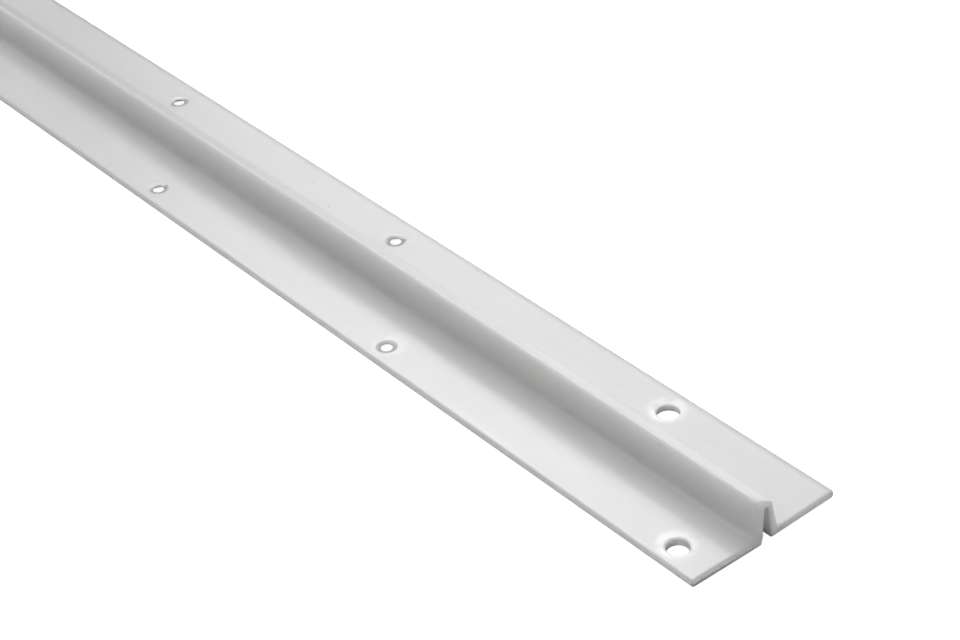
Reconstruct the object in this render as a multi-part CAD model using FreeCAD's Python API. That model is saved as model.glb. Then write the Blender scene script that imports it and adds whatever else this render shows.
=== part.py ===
import FreeCAD, Part
import math
import os

# Plaster stop bead: one length of white plastic profile. Two holed flanges lie flat on the
# wall, and between them the same wall folds up into a hollow rib, which is open along its
# underside and at both ends. The rib's upright leg is the stop that the plaster finishes
# against, and its crest falls away from that edge to the sloping back leg.
#
# X runs along the bead, with the first hole of each row near the +X end. Y runs across it,
# from the face flange (-Y) to the back flange (+Y). Z is up, and the underside is Z = 0.

# Stock, in millimetres
length = 3000.0
width = 42.5
wall = 2.0
face_flange_width = 18.95

# Rib: its height from the underside to the stop edge, and its angles in degrees
stop_height = 12.42
upright_lean = 1.5
back_leg_lean = 11.0
crest_fall = 30.0

# Slot under the rib, in millimetres: it narrows upwards from its throat, which is level with
# the top of the flanges, and its mouth is opened towards the face flange
slot_throat_width = 2.05
slot_top_width = 0.7
slot_top_shift = 0.6
crest_wall = 1.3
mouth_flare_width = 0.65
mouth_flare_height = 2.9

# Roundings of the section, in millimetres
flange_edge_radius = 0.9
face_root_radius = 0.35
back_root_radius = 1.2
stop_edge_radius = 0.7
crest_end_radius = 0.6
slot_mouth_radius = 0.3
mouth_flare_radius = 2.0
slot_top_radius = 0.3

# The most of a side that one corner's rounding may take
side_share = 0.49

# Fixing holes, in millimetres: both rows have one pitch, and the back row starts further in.
# The first hole of a row is wide, and punched apart from the nail holes a little out of line
first_hole_diameter = 5.2
nail_hole_diameter = 3.0
hole_pitch = 100.0
face_first_edge_distance = 5.55
face_row_edge_distance = 5.2
back_first_edge_distance = 7.0
back_row_edge_distance = 7.9
first_hole_distance = 10.8
back_row_stagger = 34.5
last_hole_margin = 10.0

face_edge_y = -width / 2
back_edge_y = width / 2
near_end_x = length / 2


def point(y, z):
    """A point of the section, which is drawn in the plane X = 0."""
    return FreeCAD.Vector(0, y, z)


def direction(degrees_from_level):
    """The unit vector in the section that rises at this angle from +Y."""
    angle = math.radians(degrees_from_level)
    return point(math.cos(angle), math.sin(angle))


def right_normal(along):
    """The unit vector a quarter turn clockwise of a direction, seen from the near end."""
    return point(along.z, -along.y)


def level(z):
    """The level line of the section at this height. A line is a (start, direction) pair."""
    return point(0, z), direction(0)


def through(start, end):
    """The line of the section through two points."""
    return start, (end - start).normalize()


def offset(line, distance):
    """A line of the section moved to its right by a distance."""
    start, along = line
    return start + right_normal(along) * distance, along


def meet(line_a, line_b):
    """The point where two lines of the section cross."""
    start_a, along_a = line_a
    start_b, along_b = line_b
    across_b = right_normal(along_b)
    travel = (start_b - start_a).dot(across_b) / along_a.dot(across_b)
    return start_a + along_a * travel


def rounded_wire(corners):
    """A closed wire through corners given as (point, radius), with a tangent arc at each.

    An arc takes less than half of the shorter side beside it.
    """
    arcs = []
    count = len(corners)
    for i in range(count):
        corner, radius = corners[i]
        back = corners[i - 1][0] - corner
        ahead = corners[(i + 1) % count][0] - corner
        half_angle = back.getAngle(ahead) / 2
        room = side_share * min(back.Length, ahead.Length)
        radius = min(radius, room * math.tan(half_angle))
        tangent_length = radius / math.tan(half_angle)
        back.normalize()
        ahead.normalize()
        inward = (back + ahead).normalize()
        middle = corner + inward * (radius / math.sin(half_angle) - radius)
        arcs.append((corner + back * tangent_length, middle, corner + ahead * tangent_length))
    edges = []
    for i in range(count):
        start, middle, end = arcs[i]
        edges.append(Part.Arc(start, middle, end).toShape())
        next_start = arcs[(i + 1) % count][0]
        edges.append(Part.LineSegment(end, next_start).toShape())
    return Part.Wire(edges)


def section_face():
    """The bead's section: two flanges, and between them the rib with its slot."""
    floor = level(0)
    flange_top = level(wall)
    face_root = point(face_edge_y + face_flange_width, wall)
    upright = (face_root, direction(90 + upright_lean))

    # The throat lies one wall inside the upright leg, and the back leg one wall beyond it
    throat_face_side = meet(offset(upright, wall), flange_top)
    throat_back_side = throat_face_side + point(slot_throat_width, 0)
    back_leg_width = wall / math.cos(math.radians(back_leg_lean))
    back_root = throat_back_side + point(back_leg_width, 0)
    back_leg = (back_root, direction(90 + back_leg_lean))

    # The crest is tangent to the round stop edge, whose top is the height of the stop
    edge_centre = meet(offset(upright, stop_edge_radius), level(stop_height - stop_edge_radius))
    crest_along = direction(-crest_fall)
    crest = (edge_centre - right_normal(crest_along) * stop_edge_radius, crest_along)

    # The slot's flat top touches the inside of the crest at its lower, back corner
    top_back_plumb = throat_face_side + point(slot_top_shift + slot_top_width, 0)
    top_back_corner = meet(offset(crest, crest_wall), (top_back_plumb, direction(90)))
    top_face_corner = top_back_corner - point(slot_top_width, 0)
    slot_face_side = through(throat_face_side, top_face_corner)
    slot_back_side = through(throat_back_side, top_back_corner)
    mouth_face_corner = point(throat_face_side.y - mouth_flare_width, 0)
    flare_top = meet(slot_face_side, level(mouth_flare_height))

    corners = [
        (point(face_edge_y, 0), flange_edge_radius),
        (mouth_face_corner, slot_mouth_radius),
        (flare_top, mouth_flare_radius),
        (top_face_corner, slot_top_radius),
        (top_back_corner, slot_top_radius),
        (meet(slot_back_side, floor), slot_mouth_radius),
        (point(back_edge_y, 0), flange_edge_radius),
        (point(back_edge_y, wall), flange_edge_radius),
        (back_root, back_root_radius),
        (meet(back_leg, crest), crest_end_radius),
        (meet(crest, upright), stop_edge_radius),
        (face_root, face_root_radius),
        (point(face_edge_y, wall), flange_edge_radius),
    ]
    return Part.Face(rounded_wire(corners))


def hole(x, y, diameter):
    """The cutter of one punched hole, which passes the wall by a wall on both sides."""
    base = FreeCAD.Vector(x, y, -wall)
    return Part.makeCylinder(diameter / 2, 3 * wall, base, FreeCAD.Vector(0, 0, 1))


def hole_row(first_distance, first_y, row_y):
    """Cutters for one row of fixing holes, as many as the length has room for."""
    room = length - first_distance - last_hole_margin
    nail_hole_count = int(room // hole_pitch)
    first_x = near_end_x - first_distance
    cutters = [hole(first_x, first_y, first_hole_diameter)]
    for i in range(nail_hole_count):
        x = first_x - (i + 1) * hole_pitch
        cutters.append(hole(x, row_y, nail_hole_diameter))
    print("row at y", round(row_y, 2), "has a first hole and", nail_hole_count, "nail holes")
    return cutters


def stop_bead():
    """The whole bead: its section drawn out to the stock length, less both rows of holes."""
    face = section_face()
    face.translate(FreeCAD.Vector(-length / 2, 0, 0))
    stock = face.extrude(FreeCAD.Vector(length, 0, 0))
    face_first_y = face_edge_y + face_first_edge_distance
    face_row_y = face_edge_y + face_row_edge_distance
    face_row = hole_row(first_hole_distance, face_first_y, face_row_y)
    back_first_y = back_edge_y - back_first_edge_distance
    back_row_y = back_edge_y - back_row_edge_distance
    back_row = hole_row(first_hole_distance + back_row_stagger, back_first_y, back_row_y)
    return stock.cut(face_row + back_row).Solids[0]


os.makedirs("parts", exist_ok=True)
bead = stop_bead()
box = bead.BoundBox
print("valid:", bead.isValid(), " volume:", round(bead.Volume / 1000, 2), "cm3")
print("size:", round(box.XLength, 3), round(box.YLength, 3), round(box.ZLength, 3), "mm")
bead.exportStep("parts/stop_bead.step")
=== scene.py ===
# %% [markdown]
# # Plaster stop bead
#
# A plaster stop bead is one length of white rigid PVC, pushed hot through a die, so that every
# slice across it is the same. Two thin flanges lie on the wall, and the wall of plastic between
# them is folded up into a narrow hollow rib, where the plaster stops. It is nailed through two
# rows of small holes. This lesson dresses the plain solid of the bead for a studio photograph:
# the section is drawn again with soft ends and punched holes, and one plastic finish covers it.

import math

import bmesh
import bpy
from mathutils import Matrix, Vector


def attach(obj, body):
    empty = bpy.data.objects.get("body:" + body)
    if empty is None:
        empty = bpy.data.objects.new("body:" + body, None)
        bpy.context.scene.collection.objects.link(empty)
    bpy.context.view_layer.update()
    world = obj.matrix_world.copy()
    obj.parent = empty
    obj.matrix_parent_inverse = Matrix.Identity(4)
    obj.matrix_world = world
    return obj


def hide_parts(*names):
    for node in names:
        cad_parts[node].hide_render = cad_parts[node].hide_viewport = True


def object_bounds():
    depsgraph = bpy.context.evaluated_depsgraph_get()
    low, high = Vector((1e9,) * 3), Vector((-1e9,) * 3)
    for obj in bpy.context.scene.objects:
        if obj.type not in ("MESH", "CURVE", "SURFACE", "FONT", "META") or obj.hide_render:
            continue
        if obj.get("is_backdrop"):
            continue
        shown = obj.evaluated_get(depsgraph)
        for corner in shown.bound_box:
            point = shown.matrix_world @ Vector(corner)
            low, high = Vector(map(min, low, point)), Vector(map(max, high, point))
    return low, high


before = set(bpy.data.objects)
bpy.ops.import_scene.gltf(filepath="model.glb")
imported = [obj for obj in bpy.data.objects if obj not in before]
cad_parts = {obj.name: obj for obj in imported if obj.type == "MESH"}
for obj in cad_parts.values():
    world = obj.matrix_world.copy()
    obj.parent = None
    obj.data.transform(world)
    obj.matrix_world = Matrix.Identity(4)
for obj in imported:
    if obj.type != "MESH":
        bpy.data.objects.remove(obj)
cad_low, cad_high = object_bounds()
print("solid of the bead, in metres:", [round(side, 4) for side in cad_high - cad_low])

# %% [markdown]
# The camera comes first, because everything else is judged through it. The photograph looks
# down the bead from a little above its sawn end, through a long lens, and the camera is tilted
# a few degrees. A camera's turn can be written as three plain turns: a roll about its own line
# of sight, a tilt up from looking straight down, and a turn about the vertical. Multiplying
# them in that order keeps each number readable.

# %% Camera
camera_data = bpy.data.cameras.new("camera")
camera_data.sensor_width = 36.0
camera_data.lens = 87.54
camera_data.clip_start = 0.01
camera_data.clip_end = 50.0
camera = bpy.data.objects.new("camera", camera_data)
bpy.context.scene.collection.objects.link(camera)
bpy.context.scene.camera = camera

heading, look_down, roll = (math.radians(angle) for angle in (53.203, 35.948, -5.0))
camera.matrix_world = (
    Matrix.Translation((1.76402, -0.26813, 0.33471))
    @ Matrix.Rotation(heading, 4, "Z")
    @ Matrix.Rotation(math.pi / 2 - look_down, 4, "X")
    @ Matrix.Rotation(roll, 4, "Z")
)
print("camera at", [round(place, 3) for place in camera.matrix_world.translation])

# %% [markdown]
# The section is thirteen corners. They could be typed in as finished curves, but a section is
# easier to read, and to change, as sharp corners that each carry the radius of their rounding,
# just as on a die maker's drawing. The fourth number is the softness that the saw and some
# handling left on the sawn edge from that corner to the next. The face flange is on the -Y
# side, the back flange on the +Y side, and the slot is the open inside of the folded wall.

# %% Corners of the section, in millimetres: across, up, radius, radius of the sawn edge
LENGTH = 3000.0
WALL = 2.0
SAME_POINT = 1e-4
FACE_ROOT_Y = -2.3
SECTION = [
    (-21.25, 0.0, 0.9, 0.25),
    (-0.949, 0.0, 0.3, 0.75),
    (-0.226, 2.9, 2.0, 1.1),
    (0.301, 9.383, 0.3, 0.4),
    (1.001, 9.383, 0.3, 0.5),
    (1.954, 0.0, 0.3, 0.85),
    (21.25, 0.0, 0.9, 0.85),
    (21.25, WALL, 0.9, 0.85),
    (3.788, WALL, 1.2, 0.75),
    (2.195, 10.194, 0.6, 0.4),
    (-2.587, 12.955, 0.77, 0.6),
    (FACE_ROOT_Y, WALL, 1.8, 0.6),
    (-21.25, WALL, 0.8, 0.6),
]
print(len(SECTION), "corners, stock", LENGTH, "mm long")

# %% [markdown]
# Bevel rounds an edge by cutting back a given distance along both faces beside it. A rounding of
# radius r that just touches two faces starts r / tan(half the angle between them) from the edge,
# so the same radius needs a longer cut on a sharper edge. The Bevel modifier takes one width for
# the piece and a weight from 0 to 1 for each edge, which suits a section with several radii:
# all edges are rounded in one step, and the corners where three of them meet are joined cleanly.

# %% Distance that each corner's rounding cuts back, at most a share of the shorter side beside it
SIDE_SHARE = 0.49


def cut_back(index):
    """How far along its sides the rounding of a corner starts, in millimetres."""
    here = Vector(SECTION[index][:2])
    back = Vector(SECTION[index - 1][:2]) - here
    ahead = Vector(SECTION[(index + 1) % len(SECTION)][:2]) - here
    reach = SECTION[index][2] / math.tan(back.angle(ahead) / 2)
    return min(reach, SIDE_SHARE * min(back.length, ahead.length))


widest = max(cut_back(index) for index in range(len(SECTION)))
print("widest cut", round(widest, 3), "mm")

# %% Prism of the section
stock = bmesh.new()
weight = stock.edges.layers.float.new("bevel_weight_edge")
far_end = stock.faces.new([stock.verts.new((-LENGTH / 2, y, z)) for y, z, _, _ in SECTION])
drawn = bmesh.ops.extrude_face_region(stock, geom=[far_end])
moved = [part for part in drawn["geom"] if isinstance(part, bmesh.types.BMVert)]
bmesh.ops.translate(stock, vec=(LENGTH, 0, 0), verts=moved)
bmesh.ops.recalc_face_normals(stock, faces=stock.faces[:])
print("prism:", len(stock.faces), "faces")

# %% A weight for each edge: along the bead by its corner, round the ends by the sawn radius
def corner_at(place):
    """The number of the section's corner at a point of the prism."""
    gaps = [(Vector(corner[:2]) - place.yz).length for corner in SECTION]
    return gaps.index(min(gaps))


for edge in stock.edges:
    first, second = sorted(corner_at(vertex.co) for vertex in edge.verts)
    if first == second:
        edge[weight] = cut_back(first) / widest
    elif second - first == 1:
        edge[weight] = SECTION[first][3] / widest
    else:
        edge[weight] = SECTION[second][3] / widest
print("weights from", round(min(edge[weight] for edge in stock.edges), 2), "to 1")

# %% The bead, with its roundings
def as_object(name, shape):
    """A finished bmesh as an object in the scene."""
    mesh = bpy.data.meshes.new(name)
    shape.to_mesh(mesh)
    shape.free()
    made = bpy.data.objects.new(name, mesh)
    bpy.context.scene.collection.objects.link(made)
    return made


bead = as_object("bead", stock)
roundings = bead.modifiers.new("roundings", "BEVEL")
roundings.limit_method = "WEIGHT"
roundings.offset_type = "OFFSET"
roundings.width = widest
roundings.segments = 5
roundings.profile = 0.5
roundings.use_clamp_overlap = False
print("roundings of", roundings.segments, "segments")

# %% [markdown]
# A plain cylinder would cut holes with knife-sharp rims that catch no light. A punch does more:
# it draws the rim down as it enters, and near the underside the plastic breaks away in a cone.
# So the cutter is turned, like a piece on a lathe: half of its outline is spun once about its
# axis. The first hole of each row is wide, and lies a little out of line with the others, so it
# was punched apart from them: straight through the face flange, and with some breakout in the
# back flange. The nail holes have a shallow dish, a 3 mm throat, and a breakout so wide that the
# white of the floor shows through them at a slant. A Boolean modifier then cuts each group.

# %% Where the holes are, in millimetres: the wide ones, and the line that each nail row is on
PITCH = 100.0
HOLES_IN_A_ROW = 30
first_holes = [(1489.5, -15.75), (1454.7, 14.4)]
ROW_STARTS = [(1488.85, -16.1), (1454.6, 13.45)]
nail_holes = []
for start_x, row_y in ROW_STARTS:
    nail_holes += [(start_x - number * PITCH, row_y) for number in range(1, HOLES_IN_A_ROW)]
print("holes:", len(first_holes), "wide and", len(nail_holes), "for nails")

# %% Half outlines of the cutters, from above the bead to below it: radius, height
FACE_HOLE = [(0, 3.2), (3.5, 2.1), (2.95, 1.95), (2.6, 1.75), (2.6, -0.1), (0, -1.2)]
BACK_HOLE = [(0, 3.2), (3.6, 2.1), (2.95, 1.95), (2.65, 1.8), (2.65, 0.8), (3.0, -0.1), (0, -1.2)]
NAIL_HOLE = [(0, 3.2), (3.6, 2.1), (2.6, 1.95), (1.5, 1.72), (1.5, 1.55), (3.8, -0.08), (0, -1.2)]
print("throats of", 2 * FACE_HOLE[3][0], 2 * BACK_HOLE[3][0], "and", 2 * NAIL_HOLE[3][0], "mm")

# %% Turned cutters
def turned_cutters(half_outline, softness, places):
    """Softens a half outline, spins it about Z and copies it to each (x, y) place."""
    shape = bmesh.new()
    points = [shape.verts.new((radius, 0, height)) for radius, height in half_outline]
    for pair in zip(points, points[1:]):
        shape.edges.new(pair)
    bmesh.ops.bevel(
        shape, geom=points[2:-1], offset=softness, segments=4, profile=0.5,
        affect="VERTICES", material=-1, clamp_overlap=True,
    )
    bmesh.ops.spin(
        shape, geom=shape.verts[:] + shape.edges[:], cent=(0, 0, 0), axis=(0, 0, 1),
        angle=2 * math.pi, steps=40, use_merge=True,
    )
    bmesh.ops.remove_doubles(shape, verts=shape.verts[:], dist=SAME_POINT)
    bmesh.ops.recalc_face_normals(shape, faces=shape.faces[:])
    pattern = shape.verts[:] + shape.edges[:] + shape.faces[:]
    for x, y in places:
        copy = bmesh.ops.duplicate(shape, geom=pattern)["geom"]
        moved = [part for part in copy if isinstance(part, bmesh.types.BMVert)]
        bmesh.ops.translate(shape, vec=(x, y, 0), verts=moved)
    bmesh.ops.delete(shape, geom=pattern, context="VERTS")
    return as_object("cutters", shape)


cutters = [
    turned_cutters(FACE_HOLE, 0.2, first_holes[:1]),
    turned_cutters(BACK_HOLE, 0.2, first_holes[1:]),
    turned_cutters(NAIL_HOLE, 0.15, nail_holes),
]
for cutter in cutters:
    punch = bead.modifiers.new("punch", "BOOLEAN")
    punch.operation = "DIFFERENCE"
    punch.solver = "EXACT"
    punch.object = cutter
print("cutter faces:", [len(cutter.data.polygons) for cutter in cutters])

# %% [markdown]
# The modifiers are now written into the mesh, so that the cutters can go. The photograph shows
# that the saw ran a little out of square over the face flange, so the vertices of that end move
# back by a share of their distance from the rib. Then the mesh goes from millimetres to metres.

# %% Bake the shape, slant the saw cut and scale to metres
OUT_OF_SQUARE = 0.03
ROUNDED_END = 4.0
MM = 0.001
finished = bpy.data.meshes.new_from_object(
    bead.evaluated_get(bpy.context.evaluated_depsgraph_get())
)
finished.name = "bead"
bead.modifiers.clear()
bead.data = finished
for cutter in cutters:
    bpy.data.objects.remove(cutter)

shape = bmesh.new()
shape.from_mesh(finished)
bmesh.ops.remove_doubles(shape, verts=shape.verts[:], dist=SAME_POINT)
for vertex in shape.verts:
    if vertex.co.x > LENGTH / 2 - ROUNDED_END and vertex.co.y < FACE_ROOT_Y:
        vertex.co.x -= OUT_OF_SQUARE * (FACE_ROOT_Y - vertex.co.y)
bmesh.ops.scale(shape, vec=(MM, MM, MM), verts=shape.verts[:])
open_edges = [edge for edge in shape.edges if len(edge.link_faces) != 2]
cubic_centimetres = shape.calc_volume() * 1e6
for face in shape.faces:
    face.smooth = True
shape.to_mesh(finished)
shape.free()
print("bead:", len(finished.polygons), "faces,", len(open_edges), "open edges,", end=" ")
print(round(cubic_centimetres, 1), "cm3")

# %% [markdown]
# Shading needs care: a smooth surface takes its shine from the averaged directions of its faces,
# and beside a tiny rounding a long flat face would seem to curve. Weighted normals let the large
# faces win, so flats stay flat and only the roundings turn the light. The bead then stands for
# the plain solid of the same name and moves with the one body that there is.

# %% Even shading, and what the bead stands for
even = bead.modifiers.new("even shading", "WEIGHTED_NORMAL")
even.mode = "FACE_AREA"
even.weight = 60
even.keep_sharp = True
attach(bead, "root")
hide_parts("stop_bead")
print("bead rides on root")

# %% [markdown]
# The finish is extruded rigid PVC: a dense, opaque white with a soft satin shine. It could be
# one flat white, but the photograph shows more: long faint waves along the bead where it was
# drawn from the die, a few dark specks and marks of the saw. Some coats paint light and shade
# in as colour: painted shade low on the sawn end among the saw marks, painted shade along the
# back edge, a pale halo round the wide holes that is partly plastic turned whiter by the punch
# and partly a painted highlight, and painted grey shade in the dishes of the nail holes.
# Two helpers serve every material: one turns a written colour into light, one adds a node.

# %% Colour and node helpers
def srgb(hex_colour):
    """A linear colour from an sRGB hex value."""
    channels = [int(hex_colour[place : place + 2], 16) / 255 for place in (1, 3, 5)]
    linear = [c / 12.92 if c <= 0.04045 else ((c + 0.055) / 1.055) ** 2.4 for c in channels]
    return (*linear, 1.0)


def node(tree, kind, inputs=None, **settings):
    """Adds a node with its settings. An input gets a value, or the socket that feeds it."""
    made = tree.nodes.new(kind)
    for name, setting in settings.items():
        setattr(made, name, setting)
    for name, source in (inputs or {}).items():
        if isinstance(source, bpy.types.NodeSocket):
            tree.links.new(source, made.inputs[name])
        else:
            made.inputs[name].default_value = source
    return made


print("bead white in linear light:", [round(part, 3) for part in srgb("#F0F0EF")])

# %% [markdown]
# Everything on the surface is placed by object coordinates, turned from metres into millimetres
# once, so that real sizes can be written straight into the nodes. Noise makes all the patches.
# It is stretched along the bead for what the die did, and nearly even for what came later.

# %% Place on the bead, in millimetres
pvc = bpy.data.materials.new("extruded white rigid PVC")
pvc.use_nodes = True
tree = pvc.node_tree
tree.nodes.clear()
coordinates = node(tree, "ShaderNodeTexCoord")
in_mm = node(
    tree, "ShaderNodeVectorMath", {0: coordinates.outputs["Object"], "Scale": 1 / MM},
    operation="SCALE",
).outputs[0]
axis = node(tree, "ShaderNodeSeparateXYZ", {0: in_mm}).outputs
print("one metre is", round(1 / MM), "mm")

# %% Patches of noise: length along the bead, breadth across it, detail
PATCHES = {
    "tone": (70.0, 5.0, 2.0),
    "waves": (26.0, 3.5, 1.0),
    "skin": (1.6, 0.9, 2.0),
    "polish": (18.0, 4.0, 2.0),
    "halo noise": (3.0, 3.0, 2.0),
    "saw": (1.0, 0.7, 4.0),
}
patch = {}
for name, (along, across, detail) in PATCHES.items():
    stretched = node(
        tree, "ShaderNodeMapping",
        {"Vector": in_mm, "Scale": (1 / along, 1 / across, 1 / across)},
    )
    noise = node(
        tree, "ShaderNodeTexNoise",
        {"Vector": stretched.outputs[0], "Scale": 1.0, "Detail": detail},
    )
    patch[name] = noise.outputs["Fac"]
print(len(patch), "patterns")

# %% [markdown]
# What happens at the holes is placed by distance. Both rows repeat every 100 mm, so the distance
# along the bead is wrapped into one pitch, and one sum serves all thirty holes of a row. The pale
# halo round the wide holes sits off centre, towards the lamps behind the bead: it is partly
# plastic that the punch turned whiter, and partly a painted highlight on the side facing the
# lamps.

# %% Distance from the nearest nail hole, and from a point beside the line of the wide holes
# the halo's centre lies towards the lamps behind the bead, because part of the halo is a painted
# highlight
HALO_SHIFT = (-0.7, 0.5)
from_nail_holes, from_halo_centre = [], []
for (first_x, first_y), (start_x, row_y) in zip(first_holes, ROW_STARTS):
    halo_x, halo_y = first_x + HALO_SHIFT[0], first_y + HALO_SHIFT[1]
    for x, y, lengths in ((start_x, row_y, from_nail_holes), (halo_x, halo_y, from_halo_centre)):
        past_first = node(tree, "ShaderNodeMath", {0: axis["X"], 1: x}, operation="SUBTRACT")
        along = node(
            tree, "ShaderNodeMath", {0: past_first.outputs[0], 1: PITCH / 2, 2: -PITCH / 2},
            operation="WRAP",
        )
        across = node(tree, "ShaderNodeMath", {0: axis["Y"], 1: y}, operation="SUBTRACT")
        gap = node(
            tree, "ShaderNodeCombineXYZ", {"X": along.outputs[0], "Y": across.outputs[0]}
        )
        length = node(tree, "ShaderNodeVectorMath", {0: gap.outputs[0]}, operation="LENGTH")
        lengths.append(length.outputs["Value"])
to_hole, to_halo_centre = (
    node(tree, "ShaderNodeMath", {0: lengths[0], 1: lengths[1]}, operation="MINIMUM").outputs[0]
    for lengths in (from_nail_holes, from_halo_centre)
)
print("distances to both rows")

# %% Distance from the bead's middle, and a grid of specks about 8 mm apart
SPECK_SPACING = 8.0
from_middle = node(tree, "ShaderNodeMath", {0: axis["X"]}, operation="ABSOLUTE").outputs[0]
grains = node(
    tree, "ShaderNodeTexVoronoi", {"Vector": in_mm, "Scale": 1 / SPECK_SPACING, "Randomness": 1.0},
    feature="F1",
)
print("specks along a metre:", round(1 / MM / SPECK_SPACING))

# %% Soft steps: what is measured, from, to, and the result at both
STEPS = {
    "tone": (patch["tone"], 0.0, 1.0, 0.0, 1.0),
    # painted shade along the outer edge of the back flange
    "back edge shade": (axis["Y"], 19.0, 20.8, 0.0, 0.6),
    "near end": (axis["X"], 1320.0, 1450.0, 0.0, 1.0),
    # the next two steps shape the pale halo round the wide holes, partly a painted highlight
    "wide ring": (to_halo_centre, 3.7, 5.4, 1.0, 0.0),
    "ragged": (patch["halo noise"], 0.3, 0.55, 0.0, 1.0),
    # the next three steps place painted shade in the dishes of the nail holes, stronger towards
    # the near end
    "dish": (to_hole, 2.3, 3.0, 1.0, 0.0),
    "nail holes": (axis["X"], 1420.0, 1424.0, 1.0, 0.0),
    "dish shade strength": (axis["X"], 1270.0, 1400.0, 0.04, 0.45),
    "speck": (grains.outputs["Distance"], 0.02, 0.045, 0.35, 0.0),
    # the next three steps place saw marks on the sawn end, kept to its lower part, where they also
    # paint shade
    "end": (from_middle, 1499.0, 1499.7, 0.0, 1.0),
    "saw": (patch["saw"], 0.5, 0.68, 0.0, 0.35),
    "low": (axis["Z"], 0.8, 2.2, 1.0, 0.0),
    "rim": (to_halo_centre, 2.9, 5.0, 1.0, 0.0),
    "wide holes": (axis["X"], 1420.0, 1424.0, 0.0, 1.0),
    "roughness": (patch["polish"], 0.2, 0.8, 0.17, 0.24),
}
step = {}
for name, (source, low, high, at_low, at_high) in STEPS.items():
    ramp = node(
        tree, "ShaderNodeMapRange",
        {"Value": source, "From Min": low, "From Max": high, "To Min": at_low, "To Max": at_high},
        interpolation_type="SMOOTHSTEP",
    )
    step[name] = ramp.outputs["Result"]
print(len(step), "steps")

# %% Amounts: products of steps
AMOUNTS = {
    # pale halo round the wide holes: plastic turned whiter by the punch, and a painted highlight
    "whiter and highlit": ("near end", "wide ring", "ragged"),
    # painted shade in the dishes of the nail holes
    "painted dish shade": ("nail holes", "dish", "dish shade strength"),
    # saw marks on the sawn end, darker low down as painted shade
    "saw marks and low shade": ("end", "saw", "low"),
    "lip": ("wide holes", "rim"),
}
amount = {}
for name, (first, *others) in AMOUNTS.items():
    product = step[first]
    for other in others:
        product = node(
            tree, "ShaderNodeMath", {0: product, 1: step[other]}, operation="MULTIPLY"
        ).outputs[0]
    amount[name] = product
print(len(amount), "amounts")

# %% [markdown]
# Colour is laid on in coats, as a painter would: the plain white of the plastic first, and over
# it each coat as far as its amount lets it show.

# %% Coats of colour
COATS = [
    (step["tone"], "#F4F4F3"),
    # near-white halo round the wide holes: partly plastic turned whiter, partly a painted
    # highlight
    (amount["whiter and highlit"], "#FEFEFE"),
    # grey in the dishes of the nail holes: painted shade
    (amount["painted dish shade"], "#8A8A89"),
    (step["speck"], "#6A6A68"),
    # grey along the back edge: painted shade
    (step["back edge shade"], "#B4B4B2"),
    # saw marks, and painted shade on the lower part of the sawn end
    (amount["saw marks and low shade"], "#8C8C8A"),
]
colour = srgb("#F0F0EF")
for shows, hex_colour in COATS:
    coat = node(
        tree, "ShaderNodeMix", {0: shows, 6: colour, 7: srgb(hex_colour)}, data_type="RGBA"
    )
    colour = coat.outputs[2]
print(len(COATS), "coats")

# %% Relief, in millimetres of height
RELIEF = [
    (patch["waves"], 0.03),
    (patch["skin"], 0.006),
    (amount["lip"], 0.06),
    (amount["saw marks and low shade"], -0.06),
]
height = 0.0
for source, millimetres in RELIEF:
    height = node(
        tree, "ShaderNodeMath", {0: source, 1: millimetres, 2: height}, operation="MULTIPLY_ADD"
    ).outputs[0]
relief = node(tree, "ShaderNodeBump", {"Height": height, "Strength": 1.0, "Distance": MM})
print("highest relief", max(millimetres for _, millimetres in RELIEF), "mm")

# %% [markdown]
# White pigment does not stop light at the skin: it lets a little in, which comes out again a
# few millimetres further on. That softens every edge and shadow on real plastic, and no lamp can
# imitate it. Random-walk subsurface scattering does just that. It is left out in the halo round
# the wide holes, which the punch turned whiter with tiny cracks and where a highlight is painted,
# so that the halo stays bright.

# %% White PVC
# no scattering in the halo, so that its painted highlight stays bright
outside_halo = node(
    tree, "ShaderNodeMath", {0: 1.0, 1: amount["whiter and highlit"]}, operation="SUBTRACT", use_clamp=True
)
shader = node(
    tree, "ShaderNodeBsdfPrincipled",
    {
        "Base Color": colour,
        "Roughness": step["roughness"],
        "Normal": relief.outputs["Normal"],
        "IOR": 1.53,
        "Subsurface Weight": outside_halo.outputs[0],
        "Subsurface Radius": (1.0, 1.0, 1.0),
        "Subsurface Scale": 0.005,
    },
    subsurface_method="RANDOM_WALK",
)
node(tree, "ShaderNodeOutputMaterial", {"Surface": shader.outputs["BSDF"]})
bead.data.materials.clear()
bead.data.materials.append(pvc)
print("nodes in the finish:", len(tree.nodes))

# %% [markdown]
# The floor is a sheet of white paper. To the camera it has to be pure white, as in a catalogue
# picture, but a floor lit that strongly would flood the bead with light from below. So it is a
# grey sheet to the lamps, which keeps the bead's shadow, and glows only for the camera and for
# what the glossy plastic reflects. The glow that the plastic reflects is painted: painted light,
# brightest at the near end, which makes the sloping crest bright there and fades further along,
# and a painted shadow under the bead and just beside it, which the slot and the lower edges
# reflect.

# %% Paper floor, a hair under the bead
HALF_FLOOR = 12.0
HAIR = 0.0001
ground = bmesh.new()
bmesh.ops.create_grid(ground, x_segments=1, y_segments=1, size=HALF_FLOOR)
bmesh.ops.translate(ground, vec=(0, 0, -HAIR), verts=ground.verts[:])
floor = as_object("floor", ground)
floor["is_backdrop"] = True

paper = bpy.data.materials.new("white paper floor")
paper.use_nodes = True
tree = paper.node_tree
tree.nodes.clear()
place = node(tree, "ShaderNodeTexCoord").outputs["Object"]
along = node(tree, "ShaderNodeSeparateXYZ", {0: place}).outputs["X"]
print("floor of", round(floor.dimensions.x), "m")

# %% Painted light and shadow in the reflected glow: fading along the sheet, dark close to the bead
DARK_FROM, BRIGHT_FROM, BRIGHTEST = 1.11, 1.38, 1.35
SHADE_REACH = 0.0005
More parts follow.
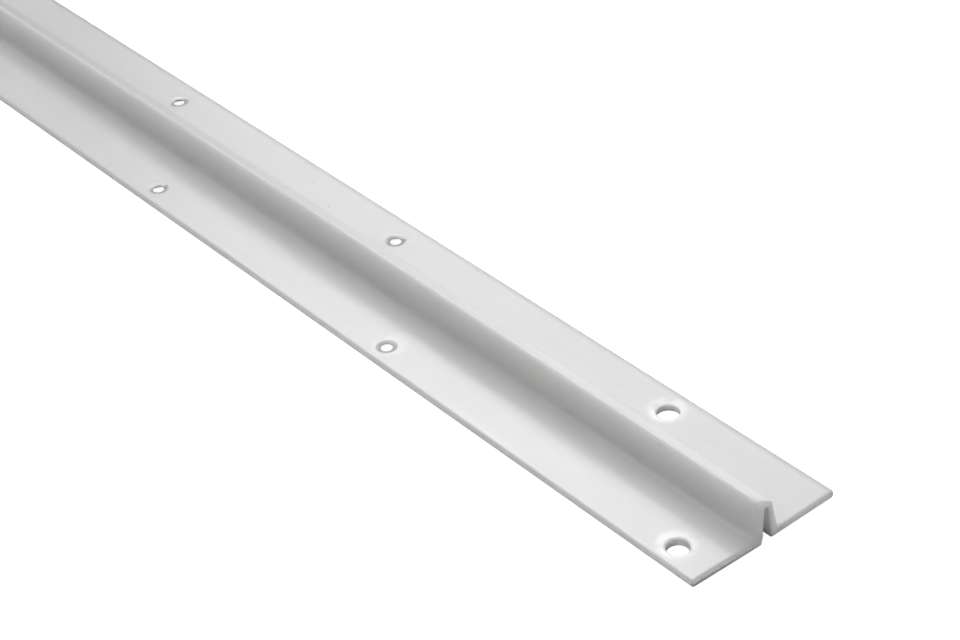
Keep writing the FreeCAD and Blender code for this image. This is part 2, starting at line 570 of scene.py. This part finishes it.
# painted light: the reflected glow fades along the bead
glow_fade = node(
    tree, "ShaderNodeMapRange",
    {"Value": along, "From Min": DARK_FROM, "From Max": BRIGHT_FROM, "To Max": BRIGHTEST},
)
mirrored = node(tree, "ShaderNodeVectorMath", {0: place}, operation="ABSOLUTE")
outside = node(
    tree, "ShaderNodeVectorMath", {0: mirrored.outputs[0], 1: tuple(cad_high)},
    operation="SUBTRACT",
)
sides = node(tree, "ShaderNodeSeparateXYZ", {0: outside.outputs[0]}).outputs
from_bead = node(tree, "ShaderNodeMath", {0: sides["X"], 1: sides["Y"]}, operation="MAXIMUM")
# painted shadow: the reflected glow is dark under the bead and just beside it
open_sheet = node(
    tree, "ShaderNodeMapRange", {"Value": from_bead.outputs[0], "From Max": SHADE_REACH},
    interpolation_type="SMOOTHSTEP",
)
sheet = node(
    tree, "ShaderNodeMath", {0: glow_fade.outputs["Result"], 1: open_sheet.outputs["Result"]},
    operation="MULTIPLY",
)
print("shade reaches", SHADE_REACH * 1000, "mm from the bead")

# %% The glow, which only the camera and reflections see
GLOW = 0.95
ray = node(tree, "ShaderNodeLightPath").outputs
reflected = node(
    tree, "ShaderNodeMath", {0: ray["Is Glossy Ray"], 1: sheet.outputs[0]}, operation="MULTIPLY"
)
straight = node(
    tree, "ShaderNodeMath", {0: ray["Is Camera Ray"], 1: ray["Is Transmission Ray"]},
    operation="MAXIMUM",
)
seen = node(
    tree, "ShaderNodeMath", {0: straight.outputs[0], 1: reflected.outputs[0]},
    operation="MAXIMUM",
)
glow = node(tree, "ShaderNodeMath", {0: seen.outputs[0], 1: GLOW}, operation="MULTIPLY")
matt = node(tree, "ShaderNodeBsdfDiffuse", {"Color": srgb("#AAAAAA")})
light = node(tree, "ShaderNodeEmission", {"Strength": glow.outputs[0]})
both = node(tree, "ShaderNodeAddShader", {0: matt.outputs[0], 1: light.outputs[0]})
node(tree, "ShaderNodeOutputMaterial", {"Surface": both.outputs[0]})
floor.data.materials.append(paper)
print("nodes in the floor:", len(tree.nodes))

# %% [markdown]
# The room is treated in the same way: white where it is seen, and dim where it lights the bead.

# %% Room
DIM = 0.02
room = bpy.data.worlds.new("studio")
room.use_nodes = True
bpy.context.scene.world = room
tree = room.node_tree
tree.nodes.clear()
ray = node(tree, "ShaderNodeLightPath").outputs
seen = node(
    tree, "ShaderNodeMath", {0: ray["Is Camera Ray"], 1: ray["Is Transmission Ray"]},
    operation="MAXIMUM",
)
dim = node(tree, "ShaderNodeBackground", {"Color": (1, 1, 1, 1), "Strength": DIM})
white = node(tree, "ShaderNodeBackground", {"Color": (1, 1, 1, 1), "Strength": 1.0})
choice = node(
    tree, "ShaderNodeMixShader",
    {0: seen.outputs[0], 1: dim.outputs[0], 2: white.outputs[0]},
)
node(tree, "ShaderNodeOutputWorld", {"Surface": choice.outputs[0]})
print("room is white to the camera")

# %% [markdown]
# Light in the photograph is soft and comes from above. Two lamps stand behind the bead, where the
# flanges mirror them to the camera: they give the shine, and the rib blocks it beside itself.
# Three lamps from higher up give the plain white, and two weak fills light the upright leg and
# the sawn end. Sun lamps with a wide angle do this evenly along three metres.

# %% Lamps: strength, angle across, compass direction from +X, height above the floor
def studio_lamp(name, strength, spread, compass, height):
    """A soft sun that shines from a compass direction and height, all angles in degrees."""
    lamp = bpy.data.lights.new(name, "SUN")
    lamp.energy = strength
    lamp.angle = math.radians(spread)
    made = bpy.data.objects.new(name, lamp)
    bpy.context.scene.collection.objects.link(made)
    around, up = math.radians(compass), math.radians(height)
    level = math.cos(up)
    toward = Vector((level * math.cos(around), level * math.sin(around), math.sin(up)))
    made.rotation_euler = toward.to_track_quat("Z", "Y").to_euler()


studio_lamp("softbox behind", 0.83, 26.0, 153.0, 50.0)
studio_lamp("strip behind", 0.30, 26.0, 138.0, 36.0)
studio_lamp("light over the back flange", 0.61, 30.0, 90.0, 55.0)
studio_lamp("top light at the back", 0.08, 50.0, 30.0, 65.0)
studio_lamp("top light at the front", 0.82, 50.0, 234.0, 65.0)
studio_lamp("fill at the corner", 0.42, 30.0, 290.0, 42.0)
studio_lamp("fill at the sawn end", 0.22, 30.0, 0.0, 12.0)
bpy.context.scene.view_settings.view_transform = "Standard"
print("lamps:", len(bpy.data.lights))

# %% [markdown]
# Last, the size is printed. Dressing must not make the bead larger than its solid, so the box
# of what is seen now is printed, to set against the box of the solid printed at the start.

# %% Sizes
low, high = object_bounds()
print("dressed bead, in metres:", [round(side, 5) for side in high - low])
